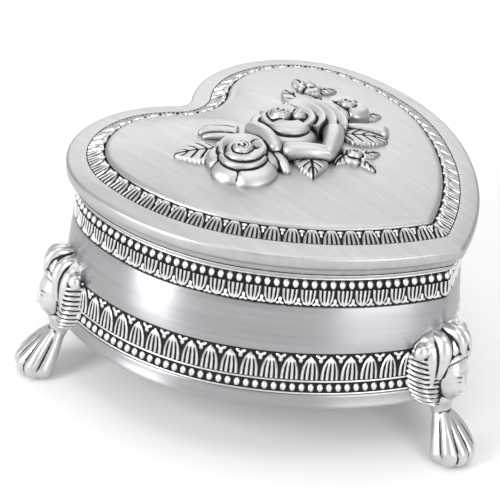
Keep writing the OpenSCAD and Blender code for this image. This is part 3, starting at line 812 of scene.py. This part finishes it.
def headcloth():
    """The cloth behind and beside the face: a thick sheet against the wall, its lappets ribbed across."""
    outline_z = [14.6, 15.2, 16.5, 18, 20, 23, 26, 28.5, 30.5, 32, 33.6, 34.7, 35.3]
    outline_y = [2.5, 5.4, 6.9, 7.9, 8.8, 9.4, 9.4, 9.1, 8.3, 7.3, 5.6, 3.6, 0.6]
    columns, rows = 72, 150
    bpy.ops.mesh.primitive_grid_add(x_subdivisions=columns, y_subdivisions=rows, size=2)
    cloth = bpy.context.object
    co = np.array([v.co[:] for v in cloth.data.vertices])
    across, rise = co[:, 0], (co[:, 1] + 1) / 2
    z = outline_z[0] + rise * (outline_z[-1] - outline_z[0])
    half = np.interp(z, outline_z, outline_y)
    y = across * half
    edge = np.clip((half - np.abs(y)) / 2.2, 0, 1)
    # the cloth is thinner behind the face
    body = 3.6 * np.sqrt(1 - (1 - edge) ** 2) - 0.9 * np.clip((4.6 - np.abs(y)) / 1.2, 0, 1)
    body *= np.clip((z - outline_z[0]) / 1.2, 0, 1) ** 0.5 * np.clip((outline_z[-1] - z) / 3.5, 0, 1) ** 0.5
    rib_pitch, rib_top, rib_low = 1.36, 30.2, 15.4
    droop = 0.16 * (np.abs(y) - 5)
    rib = 0.5 - 0.5 * np.cos(2 * pi * (z - droop - rib_low) / rib_pitch)
    on_lappet = np.clip((np.abs(y) - 3.2) / 0.4, 0, 1) * np.clip((rib_top + 0.3 - z + droop) / 0.3, 0, 1)
    on_lappet *= np.clip((z - rib_low) / 0.4, 0, 1)
    fall = -0.95 * (1 - rib ** 0.6) * on_lappet
    seam_line = np.exp(-((z - droop - rib_top - 0.35) / 0.22) ** 2) * np.clip((np.abs(y) - 3.2) / 0.4, 0, 1)
    x = body + fall - 0.6 * seam_line
    x = np.maximum(x, 0)
    y = y * (1 - 0.09 * (1 - rib ** 0.6) * on_lappet)
    cloth.data.vertices.foreach_set("co", (np.column_stack((x, y, z)) * mm).ravel())
    bpy.ops.object.mode_set(mode="EDIT")
    bpy.ops.mesh.select_all(action="SELECT")
    bpy.ops.mesh.extrude_region_move()
    bpy.ops.object.mode_set(mode="OBJECT")
    back = [v for v in cloth.data.vertices if v.select]
    for vert in back:
        vert.co.x = -0.8 * mm
    bpy.ops.object.mode_set(mode="EDIT")
    bpy.ops.mesh.select_all(action="SELECT")
    bpy.ops.mesh.normals_make_consistent(inside=False)
    bpy.ops.object.mode_set(mode="OBJECT")
    return cloth


def model_foot():
    """One foot, facing +X from its origin on the wall's ground line, its sole on the floor."""
    deselect_all()
    parts = [foot_head(), headcloth()]
    # cap over the brow, its broad folded bands, and the small scroll where they meet the wall
    parts += chain([(0.4, 0, 31.0), (2.6, 0, 32.8), (2.6, 0, 29.4)], [3.2, 3.9, 3.6])
    parts += chain([(0.2, 0, 34.0), (6.4, 0, 36.0), (6.0, 0, 31.0)], [1.5, 1.7, 0.9], 40)
    for side in (-1, 1):
        parts += chain([(0.2, side * 2.6, 33.2), (6.6, side * 4.4, 34.8), (3.9, side * 5.0, 24.4)],
                       [1.6, 1.7, 0.6], 50)
        parts += chain([(0.2, side * 5.0, 31.6), (4.4, side * 6.9, 32.6), (2.9, side * 6.0, 22.0)],
                       [1.4, 1.5, 0.5], 50)
        parts += chain([(1.2, side * 7.0, 31.2), (2.4, side * 8.0, 31.4), (1.6, side * 8.2, 29.9)],
                       [1.4, 1.5, 1.2], 14)
    parts += chain([(4.4, -4.0, 28.2), (7.9, 0, 31.3), (4.4, 4.0, 28.2)], [0.6, 0.75, 0.6], 40)
    # leg, and the paw's body with a smooth pad at either side
    parts += chain([(1.2, 0, 17), (1.0, 0, 13), (2.4, 0, 10.4)], [3.3, 2.3, 2.1], 20)
    parts += chain([(1.8, 0, 12), (3.4, 0, 7.6), (6.6, 0, 3.1)], [2.1, 2.7, 3.1], 30)
    for side in (-1, 1):
        parts += chain([(1.9, side * 0.5, 12.2), (3.6, side * 1.5, 7.4), (6.2, side * 2.7, 2.9)],
                       [1.8, 2.5, 2.9], 40)
        parts += chain([(2.2, side * 0.5, 11.6), (5.0, side * 1.5, 7.2), (8.0, side * 2.4, 3.0)],
                       [1.7, 2.4, 2.7], 40)
    # four toes, each a ridge that rises out of the instep and ends in a round tip
    for side, reach in ((-3.6, 9.0), (-1.25, 10.4), (1.25, 10.4), (3.6, 9.0)):
        parts += chain([(2.9, 0.22 * side, 12.4), (6.0, 0.8 * side, 9.6), (reach - 0.2, side, 4.5)],
                       [1.0, 1.35, 1.75], 60)
        parts += chain([(reach - 0.2, side, 4.9), (reach + 0.6, side, 3.5), (reach - 0.5, side, 2.1)],
                       [1.5, 1.7, 1.5], 10)
    foot = join_into("foot_pattern", parts)
    remesh(foot, foot_voxel, 2)
    paint_creases(foot, 12, 0.13 * mm)
    bpy.ops.object.mode_set(mode="EDIT")
    bpy.ops.mesh.select_all(action="SELECT")
    bpy.ops.mesh.bisect(plane_co=(0, 0, 0), plane_no=(0, 0, 1), clear_inner=True, use_fill=True)
    bpy.ops.object.mode_set(mode="OBJECT")
    return foot


foot_pattern = model_foot()
foot_pewter = pewter("foot_pewter", (0.6, 0.6, 0.61), level_grain, 0.33, 0.05, "both", 0.42, 0.25)
foot_origin_z = foot_line + 4
tip_wall_y = nose_c[1] - sqrt((nose_r + wall_d(foot_origin_z) * mm - tip_r) ** 2 - nose_c[0] ** 2) - tip_r
lobe_foot_r = lobe_r + wall_d(foot_origin_z) * mm
foot_turn = radians(30)
# name, CAD node, place of its origin, direction it faces, and how fast the wall falls away beside it
feet = [("tip_foot", "foot_front", (0, heart_y + tip_wall_y), -pi / 2, "corner"),
        ("right_foot", "foot_right", (lobe_x + lobe_foot_r * cos(foot_turn),
                                      heart_y + lobe_foot_r * sin(foot_turn)), foot_turn, "round"),
        ("left_foot", "foot_left", (-lobe_x - lobe_foot_r * cos(foot_turn),
                                    heart_y + lobe_foot_r * sin(foot_turn)), pi - foot_turn, "round")]
for name, node, origin, facing, wall in feet:
    foot = foot_pattern.copy()
    foot.data = foot_pattern.data.copy()
    foot.name = name
    bpy.context.collection.objects.link(foot)
    co = np.empty(len(foot.data.vertices) * 3)
    foot.data.vertices.foreach_get("co", co)
    co = co.reshape(-1, 3)
    beside = np.maximum(np.abs(co[:, 1]) - 3.5 * mm, 0)
    if wall == "corner":
        fall = 0.40 * beside
    else:
        fall = lobe_foot_r - np.sqrt(lobe_foot_r ** 2 - (beside * 1.35) ** 2)
    flare = np.clip((co[:, 2] - foot_origin_z * mm), 0, None) * 0.098
    x, y = co[:, 0] - fall - flare, co[:, 1].copy()
    co[:, 0] = origin[0] + x * cos(facing) - y * sin(facing)
    co[:, 1] = origin[1] + x * sin(facing) + y * cos(facing)
    foot.data.vertices.foreach_set("co", co.ravel())
    smooth(foot, 60)
    give(foot, foot_pewter, "box", "pewter", node)
bpy.data.objects.remove(foot_pattern)

# ---------------------------------------------------------------------------
# Rose spray: one cast relief fixed on the dome, two full-blown roses, small ones
# beside them, rolled petals and veined leaves, blackened between and rubbed on top.
# ---------------------------------------------------------------------------
shoulder = heart(shoulder_d * mm)
shoulder_turn = np.arctan2(shoulder[:, 1] - crown_place[1], shoulder[:, 0] - crown_place[0])
shoulder_reach = np.linalg.norm(shoulder - crown_place, axis=1)
shoulder_order = np.argsort(shoulder_turn)


def dome_at(x, y):
    """The dome's height at x, y, both in mm in the row frame."""
    dx, dy = x - crown_place[0] / mm, y - crown_place[1] / mm
    reach = np.interp(np.arctan2(dy, dx), shoulder_turn[shoulder_order], shoulder_reach[shoulder_order] / mm,
                      period=2 * pi)
    share = np.clip(np.hypot(dx, dy) / reach, 0, 1)
    return dome + 0.05 + crown_h * (1 - share ** 2)


def cast_down(piece, x, y, lift):
    """Lays a grid at x, y, lift mm above the dome, and closes it down into the dome."""
    base = dome_at(x, y)
    piece.data.vertices.foreach_set("co", (np.column_stack((x, y, base + lift)) * mm).ravel())
    bpy.ops.object.mode_set(mode="EDIT")
    bpy.ops.mesh.select_all(action="SELECT")
    bpy.ops.mesh.extrude_region_move()
    bpy.ops.object.mode_set(mode="OBJECT")
    for vert in piece.data.vertices:
        if vert.select:
            vert.co.z = (dome_at(vert.co.x / mm, vert.co.y / mm) - 0.5) * mm
    bpy.ops.object.mode_set(mode="EDIT")
    bpy.ops.mesh.select_all(action="SELECT")
    bpy.ops.mesh.normals_make_consistent(inside=False)
    bpy.ops.object.mode_set(mode="OBJECT")
    return piece


def petal(centre, azimuth, spread, reach, lift, lip=0.7, columns=22, rows=14):
    """A cupped petal about a flower's centre: a fan of that spread in degrees from reach[0] to reach[1] mm,
    rising from lift[0] to lift[1], its lip rounded over."""
    deselect_all()
    bpy.ops.mesh.primitive_grid_add(x_subdivisions=columns, y_subdivisions=rows, size=2)
    piece = bpy.context.object
    co = np.array([v.co[:] for v in piece.data.vertices])
    u, v = co[:, 0], (co[:, 1] + 1) / 2
    out = v * (1 - 0.3 * np.abs(u) ** 3)
    radius = reach[0] + (reach[1] - reach[0]) * out
    turn = radians(azimuth) + radians(spread / 2) * u
    x = centre[0] + radius * np.cos(turn)
    y = centre[1] + heart_y / mm + radius * np.sin(turn)
    rise = lift[0] + (lift[1] - lift[0]) * v ** 1.5
    over = np.clip((v - 0.72) / 0.28, 0, 1) ** 2 + np.clip((np.abs(u) - 0.7) / 0.3, 0, 1) ** 2
    return cast_down(piece, x, y, np.maximum(rise - lip * over, 0.15))


def roll(points, radii, count=20):
    """A rolled petal: a thick strap bent through three points, their heights above the dome."""
    lifted = [(x, y + heart_y / mm, float(dome_at(x, y + heart_y / mm)) + z) for x, y, z in points]
    return chain(lifted, radii, count)


def rose_bud(centre, radius, lift, turns=1.7, groove=0.9):
    """A flower's heart: a round cushion cut by a spiral, as its furled petals show."""
    deselect_all()
    bpy.ops.mesh.primitive_grid_add(x_subdivisions=64, y_subdivisions=22, size=2)
    piece = bpy.context.object
    co = np.array([v.co[:] for v in piece.data.vertices])
    turn, share = co[:, 0] * pi, (co[:, 1] + 1) / 2
    r = radius * share
    winding = (share * turns - turn / (2 * pi)) % 1
    cut = np.exp(-((winding - 0.5) / 0.12) ** 2)
    cut = cut * np.clip(share / 0.15, 0, 1) * np.clip((1 - share) / 0.1, 0, 1)
    step = 0.45 * (1 - winding) * np.clip(share / 0.2, 0, 1)
    cushion = 1 - 0.25 * share ** 2 - 0.35 * np.clip((share - 0.85) / 0.15, 0, 1) ** 2
    height = lift * cushion - groove * cut + step
    x = centre[0] + r * np.cos(turn)
    y = centre[1] + heart_y / mm + r * np.sin(turn)
    return cast_down(piece, x, y, height)


def veined_leaf(root, tip, width, lift, veins, columns=48, rows=56):
    """A rose leaf with a sunk midrib, paired side veins, quilting between them and a toothed edge."""
    deselect_all()
    bpy.ops.mesh.primitive_grid_add(x_subdivisions=columns, y_subdivisions=rows, size=2)
    leaf = bpy.context.object
    co = np.array([v.co[:] for v in leaf.data.vertices])
    u, v = co[:, 0], (co[:, 1] + 1) / 2
    along = np.subtract(tip, root)
    length = np.hypot(*along)
    along = along / length
    across = np.array([-along[1], along[0]])
    shape = (np.sin(pi * np.clip(v, 0, 1) ** 0.72) ** 0.75) * (1 - 0.25 * v)
    teeth = 1 + 0.05 * np.cos(v * veins * 2.6 * 2 * pi) * (np.abs(u) > 0.9)
    half = 0.5 * width * shape / 0.86 * teeth
    x = root[0] + along[0] * v * length + across[0] * u * half
    y = root[1] + heart_y / mm + along[1] * v * length + across[1] * u * half
    side_phase = (v - 0.30 * np.abs(u)) * (veins + 0.6)
    rib = np.exp(-(((side_phase + 0.5) % 1 - 0.5) / 0.11) ** 2) * (np.abs(u) > 0.05) * (v < 0.93)
    rib = rib * np.clip((0.85 - np.abs(u)) / 0.2, 0, 1)
    mid = np.exp(-(np.abs(u) * half / 0.26) ** 2)
    cut = np.maximum(rib, mid)
    arch = lift * (1 - 0.42 * np.abs(u) ** 2.2) * (0.72 + 0.28 * np.sin(pi * v))
    height = arch - 0.55 * cut - 0.45 * lift * np.clip((np.abs(u) - 0.85) / 0.15, 0, 1) ** 2
    leaf = cast_down(leaf, x, y, np.maximum(height, 0.12))
    layer = leaf.data.attributes.new("hollow", "FLOAT", "POINT")
    layer.data.foreach_set("value", np.resize(np.clip(cut * 1.1, 0, 1), len(leaf.data.vertices)))
    return leaf


# the rose on the left, its widest petals towards the heart's left flank
left = (-18.6, -15.6)
cast = [
    rose_bud((-19.5, -15.5), 3.5, 5.3, 1.5, 0.7),
    petal((-19.2, -15.6), 236, 150, (3.0, 5.0), (4.6, 5.1), 0.5),
    petal(left, 222, 150, (3.0, 6.9), (3.0, 4.4)), petal(left, 252, 130, (2.2, 5.3), (3.9, 5.2), 0.5),
    petal(left, 60, 180, (2.4, 6.4), (2.6, 4.8)), petal(left, 315, 110, (1.6, 5.4), (3.4, 5.0)),
    petal(left, 252, 84, (4.4, 10.2), (3.4, 1.5)), petal(left, 190, 62, (5.0, 9.3), (3.0, 1.4)),
    petal(left, 132, 60, (4.6, 8.6), (2.6, 1.9)), petal(left, 75, 80, (4.6, 8.2), (2.6, 2.6)),
    petal(left, 308, 56, (4.6, 9.0), (3.0, 1.9))]
# the rose in the middle, its right side a nest of long furled petals
middle = (0.4, -12.6)
cast += [
    rose_bud((-0.9, -10.8), 3.1, 5.6, 1.2, 0.6), rose_bud((2.3, -14.2), 1.9, 5.3, 0.9, 0.5),
    petal(middle, 226, 110, (2.8, 7.6), (4.4, 4.2)), petal(middle, 232, 100, (6.4, 9.6), (3.1, 1.7)),
    petal(middle, 150, 110, (2.4, 6.6), (3.2, 4.4)), petal(middle, 75, 120, (2.2, 6.4), (3.2, 4.6)),
    petal(middle, 322, 120, (2.8, 6.6), (3.6, 5.2)), petal(middle, 346, 116, (5.4, 9.2), (3.4, 5.2), 0.5),
    petal(middle, 348, 96, (8.7, 12.2), (2.9, 4.6), 0.5),
    petal(middle, 346, 70, (11.7, 15.2), (2.2, 3.6), 0.5),
    petal(middle, 62, 76, (4.8, 9.6), (2.4, 2.8)), petal(middle, 128, 66, (4.6, 9.2), (2.4, 2.3)),
    petal(middle, 184, 60, (4.8, 8.6), (2.2, 2.4))]
# the two rolled petals between them and the bent one in front
cast += roll([(-8.6, -9.4, 2.2), (-9.2, -14, 3.9), (-11.2, -18.8, 2.4)], [2.0, 2.1, 2.1])
cast += roll([(-12.5, -19.8, 1.3), (-12.6, -22.6, 1.5), (-13.6, -25.0, 0.4)], [1.3, 1.7, 1.2], 12)
cast += roll([(-9.0, -21.6, 2.0), (-6.6, -25.0, 2.8), (-2.6, -27.8, 1.9)], [2.2, 2.3, 2.0], 24)
cast += roll([(-8.8, -22.8, 3.0), (-6.4, -26.4, 3.6), (-3.2, -28.9, 2.8)], [0.8, 0.9, 0.8], 24)
cast += roll([(-2.4, -28.0, 2.0), (2.0, -26.2, 2.9), (5.8, -22.6, 1.9)], [2.0, 2.4, 2.7], 24)
# the small rose on the right, with its rolled petals
small = (20.4, -14.4)
cast += [
    rose_bud((19.8, -14.9), 2.5, 3.9, 1.1, 0.6),
    petal(small, 60, 130, (2.0, 5.6), (2.6, 2.6)), petal(small, 150, 110, (2.0, 5.4), (2.2, 2.6)),
    petal(small, 268, 90, (2.2, 6.4), (3.2, 2.8), 1.0), petal(small, 345, 90, (2.2, 5.6), (2.2, 2.2))]
cast += roll([(14.2, -9.6, 1.2), (15.8, -12.2, 2.2), (16.4, -17.0, 1.2)], [1.5, 1.8, 1.5], 14)
cast += roll([(10.8, -6.4, 1.0), (13.2, -5.0, 1.6), (15.4, -7.2, 0.8)], [1.6, 1.9, 1.6], 12)
cast += roll([(12.4, -20.4, 1.0), (16.0, -23.4, 1.3), (19.2, -26.8, 0.5)], [0.8, 1.1, 2.1], 18)
# two buds at the top
top, below_top = (22.2, -0.8), (18.4, -5.6)
cast += [
    rose_bud(top, 1.5, 2.5, 1.1, 0.5), petal(top, 120, 110, (1.2, 3.4), (1.7, 1.5)),
    petal(top, 240, 100, (1.2, 3.6), (1.8, 1.5)), petal(top, 0, 100, (1.2, 3.4), (1.5, 1.4)),
    rose_bud(below_top, 1.5, 2.6, 1.0, 0.4), petal(below_top, 200, 130, (1.0, 3.2), (1.6, 1.9)),
    petal(below_top, 40, 120, (1.0, 3.0), (1.4, 1.5))]
# a curled bud on the left and a bud in front
cast += roll([(-16.0, 0.2, 0.4), (-13.4, -1.6, 1.3), (-11.0, -5.6, 0.7)], [0.9, 1.2, 1.2], 14)
cast += roll([(-13.8, 1.2, 0.4), (-11.6, -1.2, 1.2), (-9.4, -4.6, 0.7)], [0.7, 1.0, 1.0], 12)
cast += roll([(-17.0, -1.8, 0.3), (-15.2, -4.0, 0.9), (-12.6, -6.8, 0.5)], [0.7, 0.9, 0.9], 12)
front_bud = (3.6, -31.2)
cast += [rose_bud(front_bud, 1.9, 2.4, 1.2, 0.5)]
cast += [petal(front_bud, azimuth, 110, (1.3, 3.4), (1.2, 1.4)) for azimuth in (200, 320, 80)]
spray_relief = join_into("spray_relief", cast)
remesh(spray_relief, 0.22 * mm, 1)
paint_creases(spray_relief, 8, 0.075 * mm)
# root, tip, width, lift and pairs of veins
leaves = [veined_leaf(*leaf) for leaf in (
    ((22.0, 0.6), (24.4, 6.4), 4.0, 1.2, 3), ((23.4, -2.6), (28.4, -4.8), 3.6, 1.1, 3),
    ((-19.4, -8.2), (-28.0, -2.4), 8.4, 1.4, 4), ((-4.6, -24.4), (-10.8, -31.0), 7.6, 1.7, 4),
    ((9.0, -22.4), (17.6, -30.4), 7.2, 1.5, 4), ((12.6, -8.0), (16.2, 3.0), 6.4, 1.4, 3),
    ((4.6, -32.6), (3.4, -38.4), 3.4, 1.0, 3), ((5.4, -31.2), (11.4, -33.2), 3.2, 1.0, 3),
    ((2.2, -29.6), (-2.6, -30.6), 3.4, 1.1, 3), ((21.6, -18.0), (27.4, -20.4), 4.4, 1.0, 3))]
spray = join_into("rose_spray_relief", [spray_relief] + leaves)
smooth(spray, 50)
spray_pewter = pewter("spray_pewter", (0.5, 0.5, 0.51), level_grain, 0.45, 0.35, "both", 0.37, 0.15)
give(spray, spray_pewter, "lid", "pewter_relief", "rose_spray")

# ---------------------------------------------------------------------------
# Lining: black velvet over thin foam, a loose pad on a card in the floor, a strip
# glued round the wall and a pad on a card under the dome.
# ---------------------------------------------------------------------------
def velvet(name, colour):
    """Cut pile: near black where it is looked into, pale along its nap, brushed in patches."""
    material = bpy.data.materials.new(name)
    material.use_nodes = True
    tree = material.node_tree
    nodes = tree.nodes
    skin = nodes["Principled BSDF"]
    skin.inputs["Roughness"].default_value = 0.95
    skin.inputs["Specular IOR Level"].default_value = 0.1
    skin.inputs["Sheen Weight"].default_value = 0.6
    skin.inputs["Sheen Roughness"].default_value = 0.35
    skin.inputs["Sheen Tint"].default_value = (0.75, 0.75, 0.8, 1)
    coords = nodes.new("ShaderNodeTexCoord")
    nap = nodes.new("ShaderNodeTexNoise")
    nap.inputs["Scale"].default_value = 120
    nap.inputs["Detail"].default_value = 4
    shade = nodes.new("ShaderNodeMix")
    shade.data_type = "RGBA"
    shade.inputs["A"].default_value = tuple(0.6 * c for c in colour) + (1,)
    shade.inputs["B"].default_value = tuple(1.7 * c for c in colour) + (1,)
    pile = nodes.new("ShaderNodeTexNoise")
    pile.inputs["Scale"].default_value = 6000
    pile.inputs["Detail"].default_value = 2
    bump = nodes.new("ShaderNodeBump")
    bump.inputs["Strength"].default_value = 0.6
    bump.inputs["Distance"].default_value = 0.12 * mm
    link(tree, coords.outputs["Object"], nap.inputs["Vector"])
    link(tree, coords.outputs["Object"], pile.inputs["Vector"])
    link(tree, nap.outputs["Fac"], shade.inputs["Factor"])
    link(tree, shade.outputs["Result"], skin.inputs["Base Color"])
    link(tree, pile.outputs["Fac"], bump.inputs["Height"])
    link(tree, bump.outputs["Normal"], skin.inputs["Normal"])
    return material


black_velvet = velvet("black_velvet", (0.03, 0.03, 0.035))
floor_lo, floor_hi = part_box("floor_lining")
pad_d = (floor_hi.x - rim_w / 2) / mm
pad_z0, pad_z1 = floor_lo.z / mm, floor_hi.z / mm


def tucked(d, z, depth):
    """A ring of a pad's edge, drawn in a little at even tucks where the velvet is turned under its card."""
    flat = heart(d * mm)
    share = depth * (0.5 + 0.5 * np.cos(np.arange(stations) * 2 * pi / 8))
    return np.column_stack((flat + (crown_place - flat) * share[:, None], np.full(stations, z * mm)))


pad_steps = [0.04, 0.1, 0.18, 0.28, 0.4, 0.54, 0.7, 0.86]
floor_pad = sweep("floor_pad", (
    [drawn_in(pad_d - 0.8, t, pad_z0) for t in reversed(pad_steps)]
    + [level(pad_d - 0.8, pad_z0), tucked(pad_d - 0.2, pad_z0 + 0.3, 0.006),
       tucked(pad_d, pad_z0 + 0.9, 0.006), tucked(pad_d - 0.1, pad_z1 - 0.9, 0.003),
       level(pad_d - 0.5, pad_z1 - 0.35), level(pad_d - 1.3, pad_z1)]
    + [drawn_in(pad_d - 1.3, t, pad_z1 + 0.9 * (1 - (1 - t) ** 3)) for t in pad_steps]), closed=False)
smooth(floor_pad, 60)
give(floor_pad, black_velvet, "box", "velvet", "floor_lining")

wall_lo, wall_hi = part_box("wall_lining")
strip_z0, strip_z1 = wall_lo.z / mm, wall_hi.z / mm
strip_d = (wall_hi.x - rim_w / 2) / mm - wall_d(strip_z0)
strip_profile = [(0, strip_z0), (0, strip_z1 - 0.3), (-0.3, strip_z1), (-0.8, strip_z1),
                 (-1.1, strip_z1 - 0.4)]
strip_profile += [(-1.1 - 0.25 * sin(pi * k / 10), strip_z1 - 0.4 - (strip_z1 - strip_z0 - 0.8) * k / 10)
                  for k in range(1, 10)]
strip_profile += [(-1.1, strip_z0 + 0.4), (-0.8, strip_z0)]
wall_strip = sweep("wall_velvet", [level(wall_d(z) + strip_d + d, z) for d, z in strip_profile])
smooth(wall_strip, 60)
give(wall_strip, black_velvet, "box", "velvet", "wall_lining")

lid_pad_lo, lid_pad_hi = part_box("lid_lining")
under_z, over_z = lid_pad_lo.z / mm, lid_pad_hi.z / mm
lid_pad = sweep("lid_pad", (
    [drawn_in(-6.9, t, under_z - 0.9 * (1 - (1 - t) ** 3) + 0.35) for t in reversed(pad_steps)]
    + [level(-6.9, under_z + 0.35), level(-6.2, under_z + 0.7), tucked(-5.95, under_z + 1.3, 0.004),
       tucked(-6.1, under_z + 2.1, 0.006), level(-7.4, under_z + 2.7), level(-11.2, over_z - 0.8),
       level(-11.2, over_z)]
    + [drawn_in(-11.2, t, over_z) for t in pad_steps]), closed=False)
smooth(lid_pad, 60)
give(lid_pad, black_velvet, "lid", "velvet", "lid_lining")

# ---------------------------------------------------------------------------
# Parts kept from the frame: the sheet base, the screws, the three-knuckle hinge
# with its steel pin, and the grey board under the pads.
# ---------------------------------------------------------------------------
sheet_pewter = pewter("sheet_pewter", (0.42, 0.42, 0.43), lid_grain, 0.45, 0.4, "crevices", 0.6)
hinge_pewter = pewter("hinge_pewter", (0.5, 0.5, 0.51), level_grain, 0.34, 0.2, "crevices", 0.5)
turned_grain = ((0, pi / 2, 0), (0.05, 1, 1))
screw_steel = pewter("screw_steel", (0.56, 0.57, 0.58), turned_grain, 0.25, 0.15, "crevices", 0.6)

board = bpy.data.materials.new("grey_board")
board.use_nodes = True
fibres = board.node_tree.nodes.new("ShaderNodeTexNoise")
fibres.inputs["Scale"].default_value = 1500
fibres.inputs["Detail"].default_value = 6
board_tint = board.node_tree.nodes.new("ShaderNodeMix")
board_tint.data_type = "RGBA"
board_tint.inputs["A"].default_value = (0.22, 0.2, 0.17, 1)
board_tint.inputs["B"].default_value = (0.42, 0.39, 0.34, 1)
board_place = board.node_tree.nodes.new("ShaderNodeTexCoord")
board_bump = board.node_tree.nodes.new("ShaderNodeBump")
board_bump.inputs["Distance"].default_value = 0.05 * mm
board_skin = board.node_tree.nodes["Principled BSDF"]
board_skin.inputs["Roughness"].default_value = 0.9
link(board.node_tree, board_place.outputs["Object"], fibres.inputs["Vector"])
link(board.node_tree, fibres.outputs["Fac"], board_tint.inputs["Factor"])
link(board.node_tree, fibres.outputs["Fac"], board_bump.inputs["Height"])
link(board.node_tree, board_tint.outputs["Result"], board_skin.inputs["Base Color"])
link(board.node_tree, board_bump.outputs["Normal"], board_skin.inputs["Normal"])
for node, material in (("base_plate", sheet_pewter), ("hinge_body_leaf", hinge_pewter),
                       ("hinge_lid_leaf", hinge_pewter), ("hinge_pin", screw_steel),
                       ("foot_screws", screw_steel), ("floor_card", board), ("lid_card", board)):
    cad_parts[node].data.materials.clear()
    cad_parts[node].data.materials.append(material)
